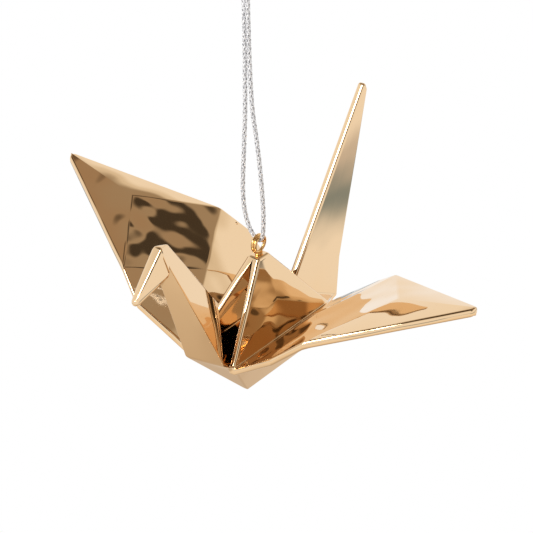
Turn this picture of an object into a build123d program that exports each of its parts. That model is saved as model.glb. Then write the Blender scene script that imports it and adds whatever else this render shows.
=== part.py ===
from build123d import *
from math import pi, radians, tan
import os

# A hanging crane ornament in the form of a folded paper crane, in millimetres.
# The crane faces -Y, +X is its left wing, +Z is up and X = 0 is its mirror plane.
# The origin is the middle of the hanging eye; heights below are given from the hump's apex.
os.makedirs("parts", exist_ok=True)

# ---- the hanging eye, a wire ring on a shank ----
eye_outer_d = 5.2
eye_wire_d = 0.9
eye_collar_d = 2.0
eye_collar_h = 0.6
eye_stand = 0.3
shank_d = 1.0
shank_length = 2.0

# ---- the hump's flat apex, where the eye is fixed ----
cap_half_width = 1.8
cap_half_length = 2.0
cap_rise = 2.4
layer_width = 1.8
hump_bulge_reach = 5.6
hump_bulge_drop = 8.25

# ---- wings: reach along X, half chord along Y, height from the apex ----
wing_thickness = 2.2
wing_tip_reach = 65.2
wing_tip_rise = 11.3
wing_tip_radius = 1.5
ridge_reach = 42.1
ridge_rise = 5.2
corner_reach = 28.4
corner_half_chord = 19.5
corner_drop = 2.6
shoulder_reach = 21.4
shoulder_half_chord = 22.7
crease_reach = 17.5
root_reach = 7.4
root_half_chord = 19.65
root_drop = 18.7

# ---- belly and keel ----
keel_depth = 36.0
keel_front_y = -5.6
keel_rear_y = 22.0
breast_y = -28.9
breast_drop = 13.1
rump_y = 31.8
rump_drop = 25.3

# ---- neck ----
nape_y = -33.4
nape_rise = 21.2
throat_y = -36.7
throat_rise = 11.5
neck_back_y = -15.9
neck_back_drop = 3.85
neck_foot_share = 0.2

# ---- head and beak ----
crown_half_width = 1.3
crown_y = -36.9
crown_rise = 21.7
brow_half_width = 1.85
brow_y = -37.2
cheek_half_width = 2.87
cheek_y = -36.3
beak_tip_half_width = 0.9
beak_tip_y = -46.2
beak_tip_rise = 11.4
beak_tip_depth = 1.3

# ---- tail, a flat blade ----
tail_thickness = 2.2
tail_front_y = 14.0
tail_front_drop = 9.9
tail_tip_y = 43.5
tail_tip_rise = 33.6
tail_tip_width = 1.0
tail_tip_drop = 2.6
tail_tip_radius = 0.7
tail_waist_y = 32.8
tail_waist_drop = 14.8
tail_sink = 2.5

# ---- cord: one length through the eye, both ends in the knot ----
cord_d = 1.1
cord_clearance = 0.05
strand_gap = 0.04
knot_wall = 0.5
knot_height = 3.4
knot_tail_d = 0.9
knot_tail_length = 4.0
strand_left_x = -3.15
knot_base_z = 67.3

eye_rise = cap_rise + eye_stand + eye_outer_d / 2
ring_r = (eye_outer_d - eye_wire_d) / 2


def at(x, y, rise):
    """Point at x, y and a height above the hump's apex, seen from the eye's middle."""
    return Vector(x, y, rise - eye_rise)


def on_plane(a, b, c, x, y):
    """Point above x, y on the plane of three points."""
    normal = (b - a).cross(c - a)
    lift = (normal.X * (x - a.X) + normal.Y * (y - a.Y)) / normal.Z
    return Vector(x, y, a.Z - lift)


def flip_y(p):
    """The same point on the rear half."""
    return Vector(p.X, -p.Y, p.Z)


def flip_x(p):
    """The same point on the right wing's side."""
    return Vector(-p.X, p.Y, p.Z)


def both(*points):
    """The points and their mirror images across X = 0."""
    return list(points) + [flip_x(p) for p in points]


def panel(*corners):
    """A flat facet through its corners in order."""
    return Face(Wire.make_polygon(list(corners)))


# ---- the wing's folded corner points, left wing ----
tip = at(wing_tip_reach, 0, wing_tip_rise)
ridge = at(ridge_reach, 0, ridge_rise)
corner_f = at(corner_reach, -corner_half_chord, -corner_drop)
corner_r = flip_y(corner_f)
root_f = at(root_reach, -root_half_chord, -root_drop)
root_r = flip_y(root_f)
crease = on_plane(ridge, corner_f, corner_r, crease_reach, 0)
shoulder_f = on_plane(corner_f, root_f, crease, shoulder_reach, -shoulder_half_chord)
shoulder_r = flip_y(shoulder_f)

# ---- the hump's corner points, left side ----
cap_f = at(cap_half_width, -cap_half_length, cap_rise)
cap_r = flip_y(cap_f)
bulge = at(hump_bulge_reach, 0, -hump_bulge_drop)

# ---- the keel's corner points, on the mirror plane ----
keel_f = at(0, keel_front_y, -keel_depth)
keel_r = at(0, keel_rear_y, -keel_depth)
breast = at(0, breast_y, -breast_drop)
rump = at(0, rump_y, -rump_drop)

# ---- the neck's corner points; its foot lies on the edge from the wing root to the breast ----
nape = at(0, nape_y, nape_rise)
throat = at(0, throat_y, throat_rise)
neck_back = at(0, neck_back_y, -neck_back_drop)
neck_foot = root_f + (breast - root_f) * neck_foot_share
brow = on_plane(nape, neck_back, neck_foot, brow_half_width, brow_y)
cheek = on_plane(nape, neck_back, neck_foot, cheek_half_width, cheek_y)
crown = at(crown_half_width, crown_y, crown_rise)
beak_top = at(beak_tip_half_width, beak_tip_y, beak_tip_rise)
beak_under = beak_top - Vector(0, 0, beak_tip_depth)

# ---- the same corners on the inside of the folded layer ----
inset = Vector(layer_width, 0, 0)
mouth = at(0, -cap_half_length, cap_rise) + (root_f - cap_f) * 0.06
pocket_f = Vector(0, mouth.Y - 0.6, mouth.Z)
floor_f = root_f - inset - Vector(0, 1.0, 0)
hollow = bulge - inset

with BuildPart() as crane_body:
    # the left wing's folded facets, each as thick as the moulded sheet
    extrude(to_extrude=panel(tip, ridge, corner_f), amount=wing_thickness, dir=(0, 0, -1))
    extrude(to_extrude=panel(tip, ridge, corner_r), amount=wing_thickness, dir=(0, 0, -1))
    extrude(to_extrude=panel(ridge, corner_f, crease, corner_r), amount=wing_thickness, dir=(0, 0, -1))
    extrude(to_extrude=panel(corner_f, shoulder_f, root_f, crease), amount=wing_thickness, dir=(0, 0, -1))
    extrude(to_extrude=panel(corner_r, shoulder_r, root_r, crease), amount=wing_thickness, dir=(0, 0, -1))
    extrude(to_extrude=panel(crease, root_f, root_r), amount=wing_thickness, dir=(0, 0, -1))
    extrude(
        to_extrude=panel(root_f, root_r, root_r - inset, root_f - inset),
        amount=wing_thickness,
        dir=(0, 0, -1),
    )
    fillet(crane_body.edges().filter_by(Axis.Z).sort_by(Axis.X)[-1:], radius=wing_tip_radius)
    mirror(about=Plane.YZ)
    # the hump, two folded layers that meet at the apex, open at the front and the rear
    ConvexPolyhedron(both(cap_f, cap_r, bulge, root_f, root_r))
    ConvexPolyhedron(
        both(floor_f, flip_y(floor_f), hollow) + [pocket_f, flip_y(pocket_f)],
        mode=Mode.SUBTRACT,
    )
    # the belly with its keel, the breast in front of it and the rump behind it
    ConvexPolyhedron(both(root_f, root_r) + [keel_f, keel_r])
    ConvexPolyhedron(both(root_f) + [breast, keel_f])
    ConvexPolyhedron(both(root_r) + [rump, keel_r])
    # the neck, two flat layers that meet along its back ridge, and the head with its beak
    ConvexPolyhedron(both(brow, neck_foot) + [nape, throat, breast, neck_back])
    ConvexPolyhedron(both(crown, brow, cheek, beak_top, beak_under) + [nape, throat])
    # the tail blade
    tail_slope = (tail_tip_y - tail_front_y) / (tail_tip_rise + tail_front_drop)
    tail_low_y = tail_front_y - (root_drop + tail_sink - tail_front_drop) * tail_slope
    with BuildSketch(Plane.YZ) as blade:
        with BuildLine():
            Polyline(
                (tail_low_y, -root_drop - tail_sink - eye_rise),
                (tail_tip_y, tail_tip_rise - eye_rise),
                (tail_tip_y + tail_tip_width, tail_tip_rise - tail_tip_drop - eye_rise),
                (tail_waist_y, -tail_waist_drop - eye_rise),
                (rump_y, -rump_drop - eye_rise),
                (keel_rear_y, -rump_drop - tail_sink - eye_rise),
                close=True,
            )
        make_face()
        fillet(blade.vertices().sort_by(Axis.Y)[-2:], radius=tail_tip_radius)
    extrude(amount=tail_thickness / 2, both=True)
    # the hole for the eye's shank
    with Locations(at(0, 0, cap_rise)):
        Cylinder(
            radius=shank_d / 2,
            height=shank_length,
            align=(Align.CENTER, Align.CENTER, Align.MAX),
            mode=Mode.SUBTRACT,
        )
crane_body.part.label = "crane_body"
export_step(crane_body.part, "parts/crane_body.step")
print("crane_body", len(crane_body.part.solids()), "solid", round(crane_body.part.volume, 1), "mm3")
print(crane_body.part.bounding_box())

with BuildPart() as hanging_eye:
    # a ring of wire that stands across the mirror plane's normal, on its collar
    Torus(major_radius=ring_r, minor_radius=eye_wire_d / 2, rotation=(0, 90, 0))
    with Locations(at(0, 0, cap_rise)):
        Cylinder(
            radius=eye_collar_d / 2,
            height=eye_collar_h,
            align=(Align.CENTER, Align.CENTER, Align.MIN),
        )
        Cylinder(
            radius=shank_d / 2,
            height=shank_length,
            align=(Align.CENTER, Align.CENTER, Align.MAX),
        )
hanging_eye.part.label = "hanging_eye"
export_step(hanging_eye.part, "parts/hanging_eye.step")

# the cord runs down one side, under the top of the ring and up the other side
under_ring_z = ring_r - eye_wire_d / 2 - cord_clearance - cord_d / 2
strand_right_x = strand_left_x + cord_d + strand_gap
cord_route = [
    (strand_left_x, 0, knot_base_z),
    (strand_left_x, 0, 43.5),
    (-4.1, 0, 25.0),
    (-4.95, 0, 11.6),
    (-3.5, 0, 4.4),
    (-1.05, 0, under_ring_z),
    (1.0, 0, under_ring_z),
    (1.6, 0, 4.8),
    (1.6, 0.1, 11.2),
    (0.35, 0, 26.5),
    (strand_right_x, 0, 43.5),
    (strand_right_x, 0, knot_base_z),
]


def corner_radii(route):
    """Arc radius at each corner of the route, from its shorter run and its turn."""
    points = [Vector(p) for p in route]
    radii = []
    for a, b, c in zip(points, points[1:], points[2:]):
        before = b - a
        after = c - b
        half_turn = before.get_angle(after) / 2
        radii.append(0.45 * min(before.length, after.length) / tan(radians(half_turn)))
    return radii


cord_radii = corner_radii(cord_route)
with BuildPart() as hanging_cord:
    with BuildLine() as cord_line:
        FilletPolyline(*cord_route, radius=cord_radii)
    with BuildSketch(Plane(origin=cord_route[0], z_dir=(0, 0, -1))):
        Circle(cord_d / 2)
    sweep()
hanging_cord.part.label = "hanging_cord"
export_step(hanging_cord.part, "parts/hanging_cord.step")

# the knot's wrapped ball sits on the two strands and lets out two short tails
knot_x = (strand_left_x + strand_right_x) / 2
knot_d = strand_right_x - strand_left_x + cord_d + 2 * knot_wall
with BuildPart() as cord_knot:
    with Locations((knot_x, 0, knot_base_z)):
        Cylinder(
            radius=knot_d / 2,
            height=knot_height,
            align=(Align.CENTER, Align.CENTER, Align.MIN),
        )
    fillet(cord_knot.edges().sort_by(Axis.Z)[-1], radius=knot_d * 0.3)
    with Locations(
        (strand_left_x, 0, knot_base_z + knot_height / 2),
        (strand_right_x, 0, knot_base_z + knot_height / 2),
    ):
        Cylinder(
            radius=knot_tail_d / 2,
            height=knot_height / 2 + knot_tail_length,
            align=(Align.CENTER, Align.CENTER, Align.MIN),
        )
cord_knot.part.label = "cord_knot"
export_step(cord_knot.part, "parts/cord_knot.step")

cord_length = cord_line.wires()[0].length
swept = cord_length * pi * (cord_d / 2) ** 2
print("hanging_eye", len(hanging_eye.part.solids()), round(hanging_eye.part.volume, 2))
print("cord radii", [round(r, 2) for r in cord_radii], "length", round(cord_length, 1))
print("cord volume", round(hanging_cord.part.volume, 2), "section x length", round(swept, 2))
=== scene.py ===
import logging
import math
from dataclasses import dataclass, field
from enum import Enum

import bmesh
import bpy
from mathutils import Matrix, Vector


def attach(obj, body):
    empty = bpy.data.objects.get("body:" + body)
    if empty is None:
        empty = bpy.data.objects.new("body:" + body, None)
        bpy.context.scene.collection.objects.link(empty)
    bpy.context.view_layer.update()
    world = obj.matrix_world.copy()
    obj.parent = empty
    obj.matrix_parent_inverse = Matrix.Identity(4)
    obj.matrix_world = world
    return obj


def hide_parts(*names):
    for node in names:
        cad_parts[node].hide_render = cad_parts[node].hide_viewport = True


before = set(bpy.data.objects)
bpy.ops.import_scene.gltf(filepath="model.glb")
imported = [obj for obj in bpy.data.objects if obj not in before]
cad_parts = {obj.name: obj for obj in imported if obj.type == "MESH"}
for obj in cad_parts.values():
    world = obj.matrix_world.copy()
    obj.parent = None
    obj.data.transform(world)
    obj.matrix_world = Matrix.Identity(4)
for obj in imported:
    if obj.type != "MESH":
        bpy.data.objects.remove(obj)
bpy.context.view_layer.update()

logging.basicConfig(level=logging.INFO, format="%(levelname)s %(message)s")
log = logging.getLogger("crane")

MM = 0.001


class Slot(Enum):
    """The record's material slots."""

    GOLD_PLATING = "gold_plating"
    GOLD_WIRE = "gold_wire"
    SILVER_CORD = "silver_cord"


class EdgeKind(Enum):
    """How far an edge of the moulding is rounded, in millimetres."""

    HUMP_RIDGE = 1.3
    SHEET_RIM = 0.72
    FOLD = 0.42
    VALLEY = 0.5


def linear(hex_colour: str) -> tuple[float, float, float, float]:
    """Turn an sRGB hex colour into linear RGBA.

    Args:
        hex_colour: six hex digits with a leading hash.

    Returns:
        The colour as four linear values, alpha 1.
    """
    values = []
    for i in (1, 3, 5):
        c = int(hex_colour[i : i + 2], 16) / 255
        values.append(c / 12.92 if c <= 0.04045 else ((c + 0.055) / 1.055) ** 2.4)
    return (values[0], values[1], values[2], 1.0)


def direction(azimuth_deg: float, elevation_deg: float) -> Vector:
    """Give the way from the object towards a place round it.

    Args:
        azimuth_deg: 0 in front of the crane's beak, growing towards +X.
        elevation_deg: 0 level, growing upwards.

    Returns:
        The unit vector.
    """
    a, e = math.radians(azimuth_deg), math.radians(elevation_deg)
    return Vector((math.sin(a) * math.cos(e), -math.cos(a) * math.cos(e), math.sin(e)))


def add_node(
    tree: bpy.types.NodeTree,
    kind: str,
    settings: dict | None = None,
    inputs: dict | None = None,
    links: dict | None = None,
) -> bpy.types.Node:
    """Add one node, set it and link what feeds it.

    Args:
        tree: the node tree.
        kind: the node's Blender type name.
        settings: the node's own properties.
        inputs: constant values by input name or index.
        links: output sockets by input name or index.

    Returns:
        The new node.
    """
    node = tree.nodes.new(kind)
    for name, value in (settings or {}).items():
        setattr(node, name, value)
    for name, value in (inputs or {}).items():
        node.inputs[name].default_value = value
    for name, socket in (links or {}).items():
        tree.links.new(socket, node.inputs[name])
    return node


def set_ramp(ramp: bpy.types.ColorRamp, stops: tuple) -> None:
    """Give a colour ramp its stops.

    Args:
        ramp: the ramp, with two elements.
        stops: places from 0 to 1 in order, each with an sRGB hex colour.
    """
    ramp.interpolation = "EASE"
    while len(ramp.elements) < len(stops):
        ramp.elements.new(0.5)
    for element, (place, tone) in zip(ramp.elements, stops):
        element.position = place
        element.color = linear(tone)


def new_material(name: str) -> tuple[bpy.types.Material, bpy.types.NodeTree]:
    """Make an empty node material.

    Args:
        name: the material's name.

    Returns:
        The material and its emptied node tree.
    """
    material = bpy.data.materials.new(name)
    material.use_nodes = True
    material.node_tree.nodes.clear()
    return material, material.node_tree


@dataclass(frozen=True)
class GoldPlating:
    """Vacuum-plated gold on moulded plastic.

    The metal film is a mirror, and the lacquered moulding under it is never quite flat, so each
    facet bends what it reflects a little.
    """

    film: str = "#eecea5"
    roughness: float = 0.04
    dome_mm: float = 36.0
    dome_height_mm: float = 3.6
    sink_mm: float = 9.0
    sink_height_mm: float = 0.62
    ripple_mm: float = 3.2
    ripple_height_mm: float = 0.006
    middle_mm: float = 1.3
    thin_mm: float = 7.0
    middle_waves: float = 0.12

    def build(self) -> bpy.types.Material:
        """Make the plated-gold material."""
        material, tree = new_material("vacuum_plated_gold")
        place = add_node(tree, "ShaderNodeTexCoord")
        # the solid middle of the moulding cools flatter than its thin wings
        side = add_node(
            tree, "ShaderNodeSeparateXYZ", links={"Vector": place.outputs["Object"]}
        )
        reach = add_node(
            tree,
            "ShaderNodeMath",
            {"operation": "ABSOLUTE"},
            links={0: side.outputs["X"]},
        )
        thin = add_node(
            tree,
            "ShaderNodeMapRange",
            {"interpolation_type": "SMOOTHSTEP"},
            {
                "From Min": self.middle_mm * MM,
                "From Max": self.thin_mm * MM,
                "To Min": self.middle_waves,
            },
            {"Value": reach.outputs["Value"]},
        )
        normal = None
        # a facet's slow doming, the sinks of the cooled moulding, and the lacquer's orange peel
        for size, height in (
            (self.dome_mm, self.dome_height_mm),
            (self.sink_mm, self.sink_height_mm),
            (self.ripple_mm, self.ripple_height_mm),
        ):
            waves = add_node(
                tree,
                "ShaderNodeTexNoise",
                inputs={"Scale": 1000 / size, "Detail": 0.0},
                links={"Vector": place.outputs["Object"]},
            )
            links = {
                "Height": waves.outputs["Fac"],
                "Strength": thin.outputs["Result"],
            }
            if normal:
                links["Normal"] = normal
            bump = add_node(
                tree,
                "ShaderNodeBump",
                inputs={"Distance": height * MM},
                links=links,
            )
            normal = bump.outputs["Normal"]
        shader = add_node(
            tree,
            "ShaderNodeBsdfPrincipled",
            inputs={
                "Base Color": linear(self.film),
                "Metallic": 1.0,
                "Roughness": self.roughness,
            },
            links={"Normal": normal},
        )
        add_node(
            tree, "ShaderNodeOutputMaterial", links={"Surface": shader.outputs["BSDF"]}
        )
        return material


@dataclass(frozen=True)
class GoldWire:
    """Drawn and gold-plated steel wire, bent into the eye: bright, with faint draw marks."""

    film: str = "#e6b878"
    roughness: float = 0.12
    marks_mm: float = 0.4
    marks_height_mm: float = 0.1
    marks_strength: float = 0.12

    def build(self) -> bpy.types.Material:
        """Make the gold-wire material."""
        material, tree = new_material("plated_gold_wire")
        place = add_node(tree, "ShaderNodeTexCoord")
        marks = add_node(
            tree,
            "ShaderNodeTexNoise",
            inputs={"Scale": 1000 / self.marks_mm, "Detail": 2.0},
            links={"Vector": place.outputs["Object"]},
        )
        bump = add_node(
            tree,
            "ShaderNodeBump",
            inputs={
                "Strength": self.marks_strength,
                "Distance": self.marks_height_mm * MM,
            },
            links={"Height": marks.outputs["Fac"]},
        )
        shader = add_node(
            tree,
            "ShaderNodeBsdfPrincipled",
            inputs={
                "Base Color": linear(self.film),
                "Metallic": 1.0,
                "Roughness": self.roughness,
            },
            links={"Normal": bump.outputs["Normal"]},
        )
        add_node(
            tree, "ShaderNodeOutputMaterial", links={"Surface": shader.outputs["BSDF"]}
        )
        return material


@dataclass(frozen=True)
class SilverYarn:
    """Metallised polyester yarn, flat and bright: its white glints along the filaments are painted
    highlights in its colour, with painted shade between them.
    """

    # the filaments' two colours: a painted highlight and a painted shade
    bright: str = "#fafafb"
    shade: str = "#c6c7cc"
    roughness: float = 0.36
    metal_share: float = 0.2
    filament_mm: float = 0.3
    filament_height_mm: float = 0.06
    filament_strength: float = 0.4
    shade_to: float = 0.42
    bright_from: float = 0.52

    def build(self) -> bpy.types.Material:
        """Make the silver-yarn material."""
        material, tree = new_material("metallised_silver_yarn")
        place = add_node(tree, "ShaderNodeTexCoord")
        # single slit filaments in the yarn, drawn coarser than they are so that they show; their
        # random tone runs from a painted shade to a painted highlight, standing in for the glints of
        # the metallised film
        filaments = add_node(
            tree,
            "ShaderNodeTexNoise",
            inputs={"Scale": 1000 / self.filament_mm, "Detail": 2.0},
            links={"Vector": place.outputs["Object"]},
        )
        painted_glint_ramp = add_node(
            tree,
            "ShaderNodeValToRGB",
            links={"Fac": filaments.outputs["Fac"]},
        )
        set_ramp(
            painted_glint_ramp.color_ramp, ((self.shade_to, self.shade), (self.bright_from, self.bright))
        )
        bump = add_node(
            tree,
            "ShaderNodeBump",
            inputs={
                "Strength": self.filament_strength,
                "Distance": self.filament_height_mm * MM,
            },
            links={"Height": filaments.outputs["Fac"]},
        )
        shader = add_node(
            tree,
            "ShaderNodeBsdfPrincipled",
            inputs={"Metallic": self.metal_share, "Roughness": self.roughness},
            links={
                "Base Color": painted_glint_ramp.outputs["Color"],
                "Normal": bump.outputs["Normal"],
            },
        )
        add_node(
            tree, "ShaderNodeOutputMaterial", links={"Surface": shader.outputs["BSDF"]}
        )
        return material


@dataclass(frozen=True)
class PaintedShadeCore:
    """A dark, dull tube inside the cord, coloured as painted shade that shows in the gaps between
    the yarns.
    """

    painted_gap_shade: str = "#232428"
    roughness: float = 0.8

    def build(self) -> bpy.types.Material:
        """Make the core's painted-shade material."""
        material, tree = new_material("painted_shade_core")
        shader = add_node(
            tree,
            "ShaderNodeBsdfPrincipled",
            inputs={"Base Color": linear(self.painted_gap_shade), "Roughness": self.roughness},
        )
        add_node(
            tree, "ShaderNodeOutputMaterial", links={"Surface": shader.outputs["BSDF"]}
        )
        return material


@dataclass(frozen=True)
class StudioPaper:
    """Matt white paper under the object, plain white to the camera.

    The plating and the wire see a glowing copy of it instead, a painted reflection with a painted
    shadow under the object and a painted grey band: a mirror over plain white would be one flat pale
    shape.
    """

    sheet: str = "#f4f4f4"
    reach_mm: float = 800.0
    # the glowing copy's painted tone by share of the reach: a warm painted shadow under the object
    # and a cool grey painted band
    painted_floor_tones: tuple = (
        (0.12, "#cdbfae"),
        (0.44, "#fff6e8"),
        (0.55, "#ffffff"),
        (0.615, "#8f9fa8"),
        (0.67, "#d5d3d4"),
        (0.75, "#ffffff"),
    )

    def build(self) -> bpy.types.Material:
        """Make the paper material."""
        material, tree = new_material("white_studio_paper")
        path = add_node(tree, "ShaderNodeLightPath")
        matt = add_node(
            tree, "ShaderNodeBsdfDiffuse", inputs={"Color": linear(self.sheet)}
        )
        # painted reflection, seen only by glossy rays: a warm painted shadow under the object, white
        # paper round it, a cool grey painted band, and white again out to the sheet's edge
        place = add_node(tree, "ShaderNodeTexCoord")
        flat = add_node(
            tree,
            "ShaderNodeVectorMath",
            {"operation": "MULTIPLY"},
            {1: (1.0, 1.0, 0.0)},
            {0: place.outputs["Object"]},
        )
        away = add_node(
            tree,
            "ShaderNodeVectorMath",
            {"operation": "LENGTH"},
            links={0: flat.outputs["Vector"]},
        )
        share = add_node(
            tree,
            "ShaderNodeMath",
            {"operation": "DIVIDE"},
            {1: self.reach_mm * MM},
            {0: away.outputs["Value"]},
        )
        tone = add_node(
            tree, "ShaderNodeValToRGB", links={"Fac": share.outputs["Value"]}
        )
        set_ramp(tone.color_ramp, self.painted_floor_tones)
        painted_reflection = add_node(
            tree,
            "ShaderNodeEmission",
            inputs={"Strength": 1.0},
            links={"Color": tone.outputs["Color"]},
        )
        page = add_node(
            tree,
            "ShaderNodeEmission",
            inputs={"Color": (1.0, 1.0, 1.0, 1.0), "Strength": 1.0},
        )
        glossy = add_node(
            tree,
            "ShaderNodeMath",
            {"operation": "MAXIMUM"},
            links={
                0: path.outputs["Is Glossy Ray"],
                1: path.outputs["Is Transmission Ray"],
            },
        )
        lit = add_node(
            tree,
            "ShaderNodeMixShader",
            links={
                "Fac": glossy.outputs["Value"],
                1: matt.outputs["BSDF"],
                2: painted_reflection.outputs["Emission"],
            },
        )
        mix = add_node(
            tree,
            "ShaderNodeMixShader",
            links={
                "Fac": path.outputs["Is Camera Ray"],
                1: lit.outputs["Shader"],
                2: page.outputs["Emission"],
            },
        )
        add_node(
            tree, "ShaderNodeOutputMaterial", links={"Surface": mix.outputs["Shader"]}
        )
        return material


def object_from(
    bm: bmesh.types.BMesh,
    name: str,
    materials: list[bpy.types.Material],
    smooth: bool = True,
) -> bpy.types.Object:
    """Make a scene object from a bmesh and free the bmesh.

    Args:
        bm: the finished mesh, in metres.
        name: the object's name.
        materials: its materials, by their number on the faces.
        smooth: whether its faces are shaded smooth.

    Returns:
        The new object, at the origin.
    """
    mesh = bpy.data.meshes.new(name)
    bm.to_mesh(mesh)
    bm.free()
    for material in materials:
        mesh.materials.append(material)
    for polygon in mesh.polygons:
        polygon.use_smooth = smooth
    piece = bpy.data.objects.new(name, mesh)
    bpy.context.scene.collection.objects.link(piece)
    return piece


@dataclass
class CraneShell:
    """The moulded crane, with its folds and rims rounded as the tool leaves them."""

    node: str = "crane_body"
    fold_angle_deg: float = 7.0
    seam_angle_deg: float = 13.0
    seam_mm: float = 2.4
    rim_angle_deg: float = 62.0
    room_share: float = 0.42
    beside_deg: tuple = (25.0, 155.0)
    least_mm: float = 0.15
    segments: int = 4
    merge_mm: float = 0.004
    flat_deg: float = 0.6
    bulge_mm: tuple = (5.6, 0.0, -13.55)
    bulge_reach_mm: float = 0.1
    shank_d: float = 1.0
    hole_play_mm: float = 0.05
    level_mm: float = 1e-4
    pin_mm: tuple = (-23.74, 20.34, -11.56)
    pin_normal: tuple = (0.605, 0.087, 0.791)
    pin_d: float = 0.9
    pin_flatness: float = 0.5
    plating: GoldPlating = field(default_factory=GoldPlating)

    def merged_copy(self) -> bmesh.types.BMesh:
        """Copy the CAD node's mesh, merged, with its flat facets joined and the eye's hole closed.

        Returns:
            The copy as a bmesh of flat facets.
        """
        bm = bmesh.new()
        bm.from_mesh(bpy.data.objects[self.node].data)
        bmesh.ops.remove_doubles(bm, verts=bm.verts[:], dist=self.merge_mm * MM)
        # the hole's rims are level rings, so a corner that is alone at its height is kept
        reach = (self.shank_d / 2 + self.hole_play_mm) * MM
        level = self.level_mm * MM
        near = [v for v in bm.verts if v.co.xy.length < reach]
        hole = [
            v
            for v in near
            if any(abs(v.co.z - w.co.z) < level for w in near if w is not v)
        ]
        bmesh.ops.delete(bm, geom=hole, context="VERTS")
        bmesh.ops.holes_fill(bm, edges=[e for e in bm.edges if e.is_boundary])
        bmesh.ops.dissolve_limit(
            bm,
            angle_limit=math.radians(self.flat_deg),
            use_dissolve_boundaries=False,
            verts=bm.verts[:],
            edges=bm.edges[:],
        )
        bmesh.ops.recalc_face_normals(bm, faces=bm.faces[:])
        return bm

    def edge_kind(self, edge: bmesh.types.BMEdge) -> EdgeKind | None:
        """Say how an edge of the faceted shell is rounded.

        Args:
            edge: an edge between two facets.

        Returns:
            The kind of rounding, or None for an edge that stays as it is.
        """
        if len(edge.link_faces) != 2:
            return None
        angle = math.degrees(edge.calc_face_angle_signed(0.0))
        if abs(angle) < self.fold_angle_deg:
            return None
        if abs(angle) < self.seam_angle_deg and edge.calc_length() < self.seam_mm * MM:
            return None
        bulge = Vector(self.bulge_mm) * MM
        for v in edge.verts:
            place = Vector((abs(v.co.x), v.co.y, v.co.z))
            if (place - bulge).length < self.bulge_reach_mm * MM:
                return EdgeKind.HUMP_RIDGE
        if angle < 0:
            return EdgeKind.VALLEY
        if abs(angle) > self.rim_angle_deg:
            return EdgeKind.SHEET_RIM
        return EdgeKind.FOLD

    def rounding_mm(self, edge: bmesh.types.BMEdge) -> float:
        """Give an edge's rounding, held back where the edges it meets are short.

        Args:
            edge: an edge between two facets.

        Returns:
            The rounding, in millimetres.
        """
        kind = self.edge_kind(edge)
        if kind is None:
            return 0.0
        width = kind.value
        least_turn, most_turn = (math.radians(v) for v in self.beside_deg)
        for v in edge.verts:
            way = (edge.other_vert(v).co - v.co).normalized()
            for other in v.link_edges:
                if other is edge:
                    continue
                turn = way.angle((other.other_vert(v).co - v.co).normalized())
                if least_turn < turn < most_turn:
                    width = min(width, self.room_share * other.calc_length() / MM)
        return width if width > self.least_mm else 0.0

    def pin_mark(self, bm: bmesh.types.BMesh) -> None:
        """Raise the small round mark of the mould's ejector pin on the right wing.

        Args:
            bm: the shell's mesh, which takes the mark as a closed flat bead.
        """
        middle = Vector(self.pin_mm) * MM
        turn = Vector(self.pin_normal).to_track_quat("Z", "Y").to_matrix().to_4x4()
        flatten = Matrix.Diagonal((1, 1, self.pin_flatness, 1))
        bmesh.ops.create_uvsphere(
            bm,
            u_segments=24,
            v_segments=12,
            radius=self.pin_d / 2 * MM,
            matrix=Matrix.Translation(middle) @ turn @ flatten,
        )

    def build(self) -> bpy.types.Object:
        """Build the shell with its rounded edges and plating."""
        bm = self.merged_copy()
        weight = bm.edges.layers.float.new("bevel_weight_edge")
        widest = max(kind.value for kind in EdgeKind)
        for edge in bm.edges:
            edge[weight] = self.rounding_mm(edge) / widest
        log.info("shell: %d facets", len(bm.faces))
        self.pin_mark(bm)
        piece = object_from(bm, "crane_shell", [self.plating.build()])
        rounding = piece.modifiers.new("rounded_edges", "BEVEL")
        rounding.width = widest * MM
        rounding.segments = self.segments
        rounding.limit_method = "WEIGHT"
        rounding.use_clamp_overlap = False
        rounding.harden_normals = False
        rounding.miter_outer = "MITER_SHARP"
        shading = piece.modifiers.new("flat_facets", "WEIGHTED_NORMAL")
        shading.keep_sharp = False
        shading.weight = 100
        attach(piece, "root")
        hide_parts(self.node)
        return piece


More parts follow.
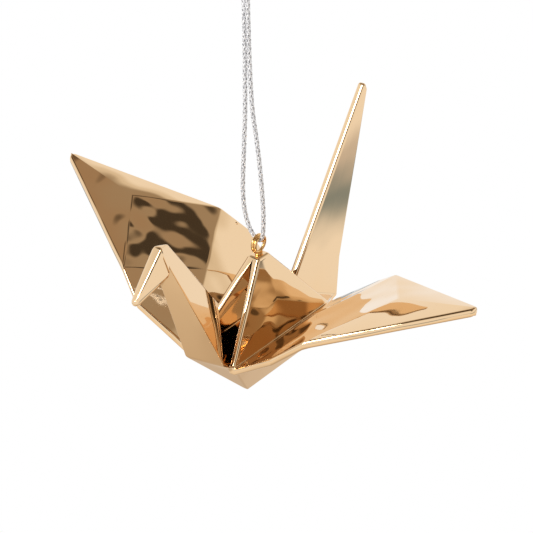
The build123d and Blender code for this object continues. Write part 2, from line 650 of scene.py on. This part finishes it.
@dataclass
class HangingEye:
    """The wire ring with its collar, standing on the hump's apex."""

    node: str = "hanging_eye"
    outer_d: float = 5.2
    wire_d: float = 0.82
    turns: float = 1.6
    pitch: float = 0.8
    stand: float = 0.3
    collar_d: float = 2.0
    collar_h: float = 0.6
    shank_d: float = 1.0
    shank_length: float = 2.0
    rim: float = 0.12
    steps: int = 90
    finish: GoldWire = field(default_factory=GoldWire)

    def ring(self, bm: bmesh.types.BMesh) -> None:
        """Wind the wire into the ring, a coil whose ends lie side by side over the collar."""
        ring_r = (self.outer_d - self.wire_d) / 2
        start_x = -self.turns * self.pitch / 2
        section = bmesh.ops.create_circle(
            bm, cap_ends=True, segments=14, radius=self.wire_d / 2 * MM
        )["verts"]
        caps = list(dict.fromkeys(f for v in section for f in v.link_faces))
        start = math.pi * (1.5 - self.turns)
        bmesh.ops.transform(
            bm,
            verts=section,
            matrix=Matrix.Rotation(start, 4, "X")
            @ Matrix.Translation(Vector((start_x, ring_r, 0)) * MM),
        )
        edges = list(dict.fromkeys(e for v in section for e in v.link_edges))
        bmesh.ops.spin(
            bm,
            geom=section + edges + caps,
            cent=(0, 0, 0),
            axis=(1, 0, 0),
            dvec=(self.pitch * self.turns / self.steps * MM, 0, 0),
            angle=2 * math.pi * self.turns,
            steps=self.steps,
            use_merge=False,
        )

    def post(self, bm: bmesh.types.BMesh) -> None:
        """Stand the collar and the shank under the ring."""
        foot = -self.outer_d / 2 - self.stand
        for d, low, high in (
            (self.collar_d, foot, foot + self.collar_h),
            (self.shank_d, foot - self.shank_length, foot + self.collar_h / 2),
        ):
            made = bmesh.ops.create_cone(
                bm,
                cap_ends=True,
                segments=32,
                radius1=d / 2 * MM,
                radius2=d / 2 * MM,
                depth=(high - low) * MM,
                matrix=Matrix.Translation((0, 0, (low + high) / 2 * MM)),
            )["verts"]
            rims = [
                e
                for e in dict.fromkeys(e for v in made for e in v.link_edges)
                if abs(e.verts[0].co.z - e.verts[1].co.z) < 1e-9
            ]
            bmesh.ops.bevel(
                bm,
                geom=rims,
                offset=self.rim * MM,
                offset_type="OFFSET",
                affect="EDGES",
                segments=3,
                profile=0.5,
                material=-1,
            )

    def build(self) -> bpy.types.Object:
        """Build the eye and plate it."""
        bm = bmesh.new()
        self.ring(bm)
        self.post(bm)
        bmesh.ops.recalc_face_normals(bm, faces=bm.faces[:])
        piece = object_from(bm, "wire_eye", [self.finish.build()])
        shading = piece.modifiers.new("flat_faces", "WEIGHTED_NORMAL")
        shading.keep_sharp = False
        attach(piece, "root")
        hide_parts(self.node)
        return piece


@dataclass
class BraidedCord:
    """The silver cord: one length through the eye, worked from eight yarns.

    The route runs down one strand from the knot, through the eye and up the other strand.
    """

    node: str = "hanging_cord"
    knot_node: str = "cord_knot"
    diameter: float = 1.1
    yarns: int = 8
    yarn_width: float = 0.46
    yarn_thickness: float = 0.2
    core_d: float = 0.62
    lay_mm: float = 8.8
    step_mm: float = 0.18
    spline_detail: int = 40
    knot_turns: float = 2.5
    knot_steps: int = 44
    knot_r: float = 1.0
    knot_start: float = 0.65
    knot_rise: float = 2.1
    knot_cord_d: float = 0.95
    tail_d: float = 0.9
    tail_leans: tuple = (-0.25, 0.3)
    # a tail's points: share of its lean along x, then y and height above the knot's base
    tail_points: tuple = (
        (0.0, 0.0, 0.0),
        (0.0, 0.05, 2.0),
        (1.0, 0.1, 4.6),
        (1.6, 0.0, 7.3),
    )
    yarn: SilverYarn = field(default_factory=SilverYarn)
    core: PaintedShadeCore = field(default_factory=PaintedShadeCore)
    route: tuple = (
        (-3.15, 0.0, 67.3),
        (-3.15, 0.0, 40.5),
        (-4.1, 0.0, 25.0),
        (-4.95, 0.0, 11.6),
        (-3.5, 0.0, 4.4),
        (-1.05, 0.0, 1.1),
        (1.0, 0.0, 1.1),
        (1.6, 0.0, 4.8),
        (1.6, 0.1, 11.2),
        (0.35, 0.0, 26.5),
        (-2.01, 0.0, 40.5),
        (-2.01, 0.0, 67.3),
    )

    def spline_points(self, route: tuple, resolution: int) -> list[Vector]:
        """Read the points of a smooth NURBS line through a route.

        Args:
            route: control points in millimetres.
            resolution: points that the curve makes for each control point.

        Returns:
            Points along the line, in metres.
        """
        curve = bpy.data.curves.new("route", "CURVE")
        curve.dimensions = "3D"
        curve.resolution_u = resolution
        spline = curve.splines.new("NURBS")
        spline.points.add(len(route) - 1)
        for point, place in zip(spline.points, route):
            point.co = (*(Vector(place) * MM), 1.0)
        spline.order_u = 3
        spline.use_endpoint_u = True
        holder = bpy.data.objects.new("route", curve)
        bpy.context.scene.collection.objects.link(holder)
        bpy.context.view_layer.update()
        mesh = bpy.data.meshes.new_from_object(holder)
        points = [v.co.copy() for v in mesh.vertices]
        bpy.data.objects.remove(holder)
        bpy.data.curves.remove(curve)
        bpy.data.meshes.remove(mesh)
        return points

    def even(self, points: list[Vector], step: float) -> list[Vector]:
        """Space points evenly along a line.

        Args:
            points: points along the line.
            step: the wanted spacing, in metres.

        Returns:
            Evenly spaced points from its start to its end.
        """
        lengths = [0.0]
        for a, b in zip(points, points[1:]):
            lengths.append(lengths[-1] + (b - a).length)
        count = max(2, round(lengths[-1] / step))
        out, i = [], 0
        for k in range(count + 1):
            s = lengths[-1] * k / count
            while i < len(lengths) - 2 and lengths[i + 1] < s:
                i += 1
            span = lengths[i + 1] - lengths[i] or 1.0
            out.append(points[i].lerp(points[i + 1], (s - lengths[i]) / span))
        return out

    def strand(
        self, bm: bmesh.types.BMesh, centres: list, size: tuple, skin: int
    ) -> None:
        """Sweep a six-sided flat section along centres.

        Args:
            bm: the mesh that takes it.
            centres: centre, outward direction and sideways direction of each section.
            size: half the width and half the thickness, in metres.
            skin: the material's number.
        """
        previous = None
        for centre, outward, round_it in centres:
            ring = []
            for k in range(6):
                a = 2 * math.pi * k / 6
                offset = outward * math.cos(a) * size[1] + round_it * math.sin(a) * size[0]
                ring.append(bm.verts.new(centre + offset))
            if previous:
                for k in range(6):
                    n = (k + 1) % 6
                    side = bm.faces.new((previous[k], previous[n], ring[n], ring[k]))
                    side.material_index = skin
            else:
                bm.faces.new(ring).material_index = skin
            previous = ring
        bm.faces.new(previous[::-1]).material_index = skin

    def braid(
        self, bm: bmesh.types.BMesh, line: list[Vector], diameter: float, side: Vector
    ) -> None:
        """Lay the yarns round a core, half of them each way, over one and under one.

        Args:
            bm: the mesh that takes them.
            line: evenly spaced points along the line.
            diameter: the braid's diameter, in metres. Where yarns cross, the upper one stands
                a quarter of its thickness above it on each side.
            side: a direction that is nowhere along the line.
        """
        step = (line[1] - line[0]).length
        thick = self.yarn_thickness * MM / 2
        middle_r = diameter / 2 - 1.5 * thick
        axes = []
        for i, point in enumerate(line):
            along = (line[min(i + 1, len(line) - 1)] - line[max(i - 1, 0)]).normalized()
            across = along.cross(side).normalized()
            axes.append((point, across, along.cross(across)))
        for n in range(self.yarns):
            turn = 1 if n % 2 else -1
            start = 2 * math.pi * (n // 2) / (self.yarns // 2)
            centres = []
            for i, (point, across, other) in enumerate(axes):
                angle = start + turn * 2 * math.pi * i * step / (self.lay_mm * MM)
                weave = math.cos(self.yarns / 2 * angle) * turn
                outward = across * math.cos(angle) + other * math.sin(angle)
                round_it = other * math.cos(angle) - across * math.sin(angle)
                centres.append(
                    (point + outward * (middle_r + weave * thick), outward, round_it)
                )
            self.strand(bm, centres, (self.yarn_width * MM / 2, thick), 0)
        # the dark core tube is painted shade, showing in the gaps between the yarns
        core_r = self.core_d * MM / 2
        self.strand(bm, axes, (core_r, core_r), 1)

    def build_cord(self) -> tuple[bpy.types.Object, list[Vector]]:
        """Build the cord from the knot through the eye and back."""
        line = self.even(
            self.spline_points(self.route, self.spline_detail), self.step_mm * MM
        )
        bm = bmesh.new()
        self.braid(bm, line, self.diameter * MM, Vector((0, 1, 0)))
        bmesh.ops.recalc_face_normals(bm, faces=bm.faces[:])
        skins = [self.yarn.build(), self.core.build()]
        return object_from(bm, "silver_cord", skins), line

    def build_knot(self, skins: list[bpy.types.Material]) -> bpy.types.Object:
        """Build the knot: turns round both strands, and two short tails above them.

        Args:
            skins: the cord's yarn material and the core's painted-shade material.

        Returns:
            The knot.
        """
        centre_x = (self.route[0][0] + self.route[-1][0]) / 2
        base = self.route[0][2]
        turns = []
        for i in range(self.knot_steps + 1):
            a = 2 * math.pi * self.knot_turns * i / self.knot_steps
            rise = self.knot_start + self.knot_rise * i / self.knot_steps
            x, y = self.knot_r * math.cos(a), self.knot_r * math.sin(a)
            turns.append(Vector((centre_x + x, y, base + rise)) * MM)
        bm = bmesh.new()
        step = self.step_mm * MM
        self.braid(bm, self.even(turns, step), self.knot_cord_d * MM, Vector((0, 0.1, 1)))
        for end, lean in zip((self.route[0], self.route[-1]), self.tail_leans):
            x = end[0]
            tail = [
                Vector((x + lean * share, y, base + rise)) * MM
                for share, y, rise in self.tail_points
            ]
            self.braid(bm, self.even(tail, step), self.tail_d * MM, Vector((0, 1, 0)))
        bmesh.ops.recalc_face_normals(bm, faces=bm.faces[:])
        return object_from(bm, "silver_knot", skins)

    def build(self) -> list[bpy.types.Object]:
        cord, line = self.build_cord()
        knot = self.build_knot(list(cord.data.materials))
        for piece, node in ((cord, self.node), (knot, self.knot_node)):
            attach(piece, "root")
            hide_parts(node)
        return [cord, knot]


@dataclass(frozen=True)
class Flag:
    """A soft-edged black flag on the room's wall: where it hangs, its half width, how dark it is."""

    azimuth_deg: float
    elevation_deg: float
    half_deg: float
    dark: float
    core_share: float = 0.55


@dataclass
class Studio:
    """A pale floor well below the hanging object, soft light and the camera."""

    azimuth_deg: float = 38.67
    elevation_deg: float = 31.14
    roll_deg: float = -0.87
    target_mm: tuple = (1.83, 0.68, -6.3)
    distance_mm: float = 450.0
    lens_mm: float = 121.58
    floor_z_mm: float = -260.0
    floor_r_mm: float = 1600.0
    walls: tuple = (
        (0.0, "#f3f3f3"),
        (0.5, "#ffffff"),
        (0.755, "#ffffff"),
        (0.81, "#e8e2d8"),
        (0.86, "#a99b89"),
        (1.0, "#a89078"),
    )
    flag_tone: str = "#140f0b"
    flags: tuple = (
        Flag(169.0, 53.0, 3.8, 0.85),
        Flag(175.0, 43.0, 3.2, 0.8),
        Flag(186.0, 54.0, 6.0, 0.7),
        Flag(-156.0, 64.0, 5.0, 0.7),
        Flag(38.0, 30.0, 16.0, 0.95),
        Flag(-40.0, 55.0, 18.0, 0.85),
        Flag(-160.0, 72.0, 7.0, 0.6),
        Flag(104.0, 24.0, 17.0, 0.95),
        Flag(124.0, 4.0, 9.0, 0.85),
        Flag(-75.0, 66.0, 12.0, 0.9),
        Flag(-90.0, 24.0, 7.0, 0.7),
        Flag(10.0, 62.0, 20.0, 0.9),
    )
    paper: StudioPaper = field(default_factory=StudioPaper)

    def floor(self) -> bpy.types.Object:
        """Lay the sheet of paper under the object."""
        bm = bmesh.new()
        bmesh.ops.create_circle(
            bm, cap_ends=True, segments=96, radius=self.floor_r_mm * MM
        )
        bmesh.ops.translate(bm, verts=bm.verts[:], vec=(0, 0, self.floor_z_mm * MM))
        piece = object_from(bm, "floor", [self.paper.build()], smooth=False)
        return piece

    def flag_node(
        self,
        tree: bpy.types.NodeTree,
        way: bpy.types.NodeSocket,
        light: bpy.types.NodeSocket,
        flag: Flag,
    ) -> bpy.types.NodeSocket:
        """Hang a soft-edged black flag in front of the room's walls.

        Args:
            tree: the world's node tree.
            way: the direction that is looked in.
            light: the walls' colour so far.
            flag: the flag.

        Returns:
            The walls' colour with the flag.
        """
        near = add_node(
            tree,
            "ShaderNodeVectorMath",
            {"operation": "DOT_PRODUCT"},
            {1: direction(flag.azimuth_deg, flag.elevation_deg)},
            {0: way},
        )
        cover = add_node(
            tree,
            "ShaderNodeMapRange",
            {"interpolation_type": "SMOOTHSTEP"},
            {
                "From Min": math.cos(math.radians(flag.half_deg)),
                "From Max": math.cos(math.radians(flag.half_deg * flag.core_share)),
                "To Max": flag.dark,
            },
            {"Value": near.outputs["Value"]},
        )
        mix = add_node(
            tree,
            "ShaderNodeMix",
            {"data_type": "RGBA"},
            {7: linear(self.flag_tone)},
            {0: cover.outputs["Result"], 6: light},
        )
        return mix.outputs[2]

    def world(self) -> None:
        """Light the room: pale walls, a dimmer ceiling and black flags, and white to the camera."""
        world = bpy.data.worlds.new("studio")
        bpy.context.scene.world = world
        world.use_nodes = True
        tree = world.node_tree
        tree.nodes.clear()
        place = add_node(tree, "ShaderNodeTexCoord")
        axes = add_node(
            tree, "ShaderNodeSeparateXYZ", links={"Vector": place.outputs["Generated"]}
        )
        height = add_node(
            tree,
            "ShaderNodeMapRange",
            inputs={"From Min": -1.0, "From Max": 1.0},
            links={"Value": axes.outputs["Z"]},
        )
        walls = add_node(
            tree, "ShaderNodeValToRGB", links={"Fac": height.outputs["Result"]}
        )
        set_ramp(walls.color_ramp, self.walls)
        light = walls.outputs["Color"]
        for flag in self.flags:
            light = self.flag_node(tree, place.outputs["Generated"], light, flag)
        room = add_node(
            tree,
            "ShaderNodeBackground",
            inputs={"Strength": 1.0},
            links={"Color": light},
        )
        page = add_node(
            tree,
            "ShaderNodeBackground",
            inputs={"Color": (1.0, 1.0, 1.0, 1.0), "Strength": 1.0},
        )
        path = add_node(tree, "ShaderNodeLightPath")
        mix = add_node(
            tree,
            "ShaderNodeMixShader",
            links={
                "Fac": path.outputs["Is Camera Ray"],
                1: room.outputs["Background"],
                2: page.outputs["Background"],
            },
        )
        add_node(
            tree, "ShaderNodeOutputWorld", links={"Surface": mix.outputs["Shader"]}
        )

    def lamp(
        self, name: str, place_mm: tuple, aim_mm: tuple, size_mm: float, power: float
    ) -> None:
        """Hang one soft square lamp.

        Args:
            name: the lamp's name.
            place_mm: where it hangs.
            aim_mm: what it points at.
            size_mm: its side.
            power: its power, in watts.
        """
        data = bpy.data.lights.new(name, "AREA")
        data.shape = "SQUARE"
        data.size = size_mm * MM
        data.energy = power
        lamp = bpy.data.objects.new(name, data)
        bpy.context.scene.collection.objects.link(lamp)
        lamp.location = Vector(place_mm) * MM
        way = (Vector(aim_mm) - Vector(place_mm)).normalized()
        lamp.rotation_mode = "QUATERNION"
        lamp.rotation_quaternion = way.to_track_quat("-Z", "Y")

    def camera(self) -> None:
        """Set the camera where it looks down on the crane's left front."""
        a, r = math.radians(self.azimuth_deg), math.radians(self.roll_deg)
        back = direction(self.azimuth_deg, self.elevation_deg)
        right = Vector((math.cos(a), math.sin(a), 0))
        up = back.cross(right)
        right, up = (
            right * math.cos(r) + up * math.sin(r),
            up * math.cos(r) - right * math.sin(r),
        )
        data = bpy.data.cameras.new("camera")
        data.lens = self.lens_mm
        data.sensor_width = 36.0
        camera = bpy.data.objects.new("camera", data)
        bpy.context.scene.collection.objects.link(camera)
        place = (Vector(self.target_mm) + back * self.distance_mm) * MM
        turn = Matrix((right, up, back)).transposed().to_4x4()
        camera.matrix_world = Matrix.Translation(place) @ turn
        data.clip_start, data.clip_end = 0.01, 20.0
        bpy.context.scene.camera = camera

    def build(self) -> None:
        """Build the floor, the light and the camera."""
        self.floor()
        self.world()
        self.lamp(
            "front_box",
            place_mm=(-250, -600, 420),
            aim_mm=(0, 0, 0),
            size_mm=260,
            power=3.0,
        )
        self.camera()
        bpy.context.scene.view_settings.view_transform = "Standard"


def main() -> None:
    """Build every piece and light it."""
    for part in (CraneShell(), HangingEye(), BraidedCord()):
        made = part.build()
        for piece in made if isinstance(made, list) else [made]:
            log.info("%s: %d faces", piece.name, len(piece.data.polygons))
    Studio().build()


if __name__ == "__main__":
    main()
